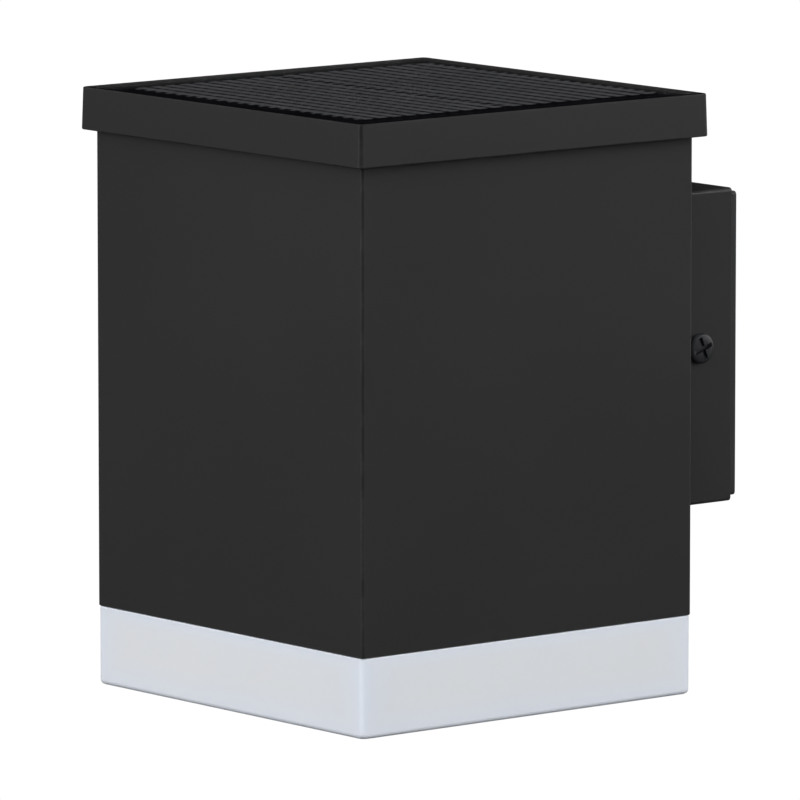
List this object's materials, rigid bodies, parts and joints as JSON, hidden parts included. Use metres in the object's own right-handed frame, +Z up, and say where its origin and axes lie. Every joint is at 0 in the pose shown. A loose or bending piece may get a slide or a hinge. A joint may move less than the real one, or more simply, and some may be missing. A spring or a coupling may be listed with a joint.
{
  "type": "outdoor wall lantern",
  "caption": "Square black solar wall lantern with an overhanging solar cap, a frosted light cup below and a canopy that slides over a wall bracket.",
  "frame": {"origin": "centre of the wall plate's back face, on the wall", "axes": "+Z up, +Y into the wall, -Y the lantern's front, +X to the right of someone facing its front"},
  "size_m": [0.116, 0.1409, 0.1573],
  "materials": {
    "powder_black": "satin black powder coat",
    "black_steel": "matte black painted steel",
    "dark_screw": "blackened steel",
    "zinc_steel": "bright zinc plating",
    "rubber_black": "matte",
    "frosted": "frosted translucent white",
    "panel_black": "gloss black",
    "silicon": "dark blue-black silicon with fine silver lines",
    "clear_cover": "clear gloss",
    "white_paint": "satin white",
    "board_green": "green solder mask",
    "led_yellow": "phosphor yellow",
    "ferrite": "matte ferrite",
    "white_plastic": "matte",
    "black_plastic": "matte",
    "red_lead": "satin",
    "black_lead": "satin",
    "battery_green": "gloss shrink sleeve"
  },
  "bodies": {
    "bracket": {"wall_plate": "black_steel"},
    "lantern": {"canopy": "powder_black", "right_nut": "zinc_steel", "left_nut": "zinc_steel", "canopy_screw_1": "zinc_steel", "canopy_screw_2": "zinc_steel", "canopy_screw_3": "zinc_steel", "canopy_screw_4": "zinc_steel", "body_shell": "powder_black", "diffuser": "frosted", "diffuser_gasket": "rubber_black", "inner_tray": "white_paint", "tray_screw_1": "zinc_steel", "tray_screw_2": "zinc_steel", "tray_screw_3": "zinc_steel", "tray_screw_4": "zinc_steel", "led_board": "white_paint", "led_chip_1": "led_yellow", "led_chip_2": "led_yellow", "led_chip_3": "led_yellow", "led_chip_4": "led_yellow", "led_chip_5": "led_yellow", "led_chip_6": "led_yellow", "led_board_screw_1": "zinc_steel", "led_board_screw_2": "zinc_steel", "control_board": "board_green", "board_screw_1": "zinc_steel", "board_screw_2": "zinc_steel", "control_chip": "black_plastic", "charging_coil": "ferrite", "solar_socket": "white_plastic", "led_lead_red": "red_lead", "led_lead_black": "black_lead", "battery_holder": "black_plastic", "contact_plate": "zinc_steel", "contact_spring": "zinc_steel", "battery_lead_red": "red_lead", "battery_lead_black": "black_lead", "holder_screw_1": "zinc_steel", "holder_screw_2": "zinc_steel", "switch_body": "black_plastic", "switch_seal": "rubber_black", "switch_nut": "zinc_steel"},
    "cap": {"cap_shell": "powder_black", "cap_gasket": "rubber_black", "panel_adhesive": "rubber_black", "panel_board": "panel_black", "front_cell": "silicon", "back_cell": "silicon", "panel_cover": "clear_cover", "lead_grommet": "rubber_black", "solar_lead_red": "red_lead", "solar_lead_black": "black_lead", "solar_plug": "white_plastic"},
    "battery": {"battery_cell": "battery_green"},
    "button": {"power_button": "rubber_black"},
    "right_washer_body": {"right_washer": "zinc_steel"},
    "right_screw_body": {"right_screw": "dark_screw"},
    "left_washer_body": {"left_washer": "zinc_steel"},
    "left_screw_body": {"left_screw": "dark_screw"}
  },
  "joints": [
    {"name": "lantern_slide", "type": "slide", "parent": "bracket", "child": "lantern", "axis": [0, -1, 0], "range_m": [0, 0.04]},
    {"name": "cap_lift", "type": "slide", "parent": "lantern", "child": "cap", "axis": [0, 0, 1], "range_m": [0, 0.12]},
    {"name": "battery_lift", "type": "slide", "parent": "lantern", "child": "battery", "axis": [0, 0, 1], "range_m": [0, 0.03]},
    {"name": "power_press", "type": "slide", "parent": "lantern", "child": "button", "axis": [0, -1, 0], "range_m": [0, 0.0022], "stiffness_N_per_m": 300, "springref_m": -0.001},
    {"name": "right_screw_travel", "type": "slide", "parent": "lantern", "child": "right_washer_body", "axis": [1, 0, 0], "range_m": [0, 0.0028]},
    {"name": "right_screw_turn", "type": "hinge", "parent": "right_washer_body", "child": "right_screw_body", "pos_m": [0.0421, -0.0138, 0], "axis": [1, 0, 0], "range_deg": [0, 1445]},
    {"name": "left_screw_travel", "type": "slide", "parent": "lantern", "child": "left_washer_body", "axis": [-1, 0, 0], "range_m": [0, 0.0028]},
    {"name": "left_screw_turn", "type": "hinge", "parent": "left_washer_body", "child": "left_screw_body", "pos_m": [-0.0421, -0.0138, 0], "axis": [-1, 0, 0], "range_deg": [0, 1445]}
  ],
  "couplings": [
    {"joint": "right_screw_turn", "follows": "right_screw_travel", "rad_per_m": 8976},
    {"joint": "left_screw_turn", "follows": "left_screw_travel", "rad_per_m": 8976}
  ]
}
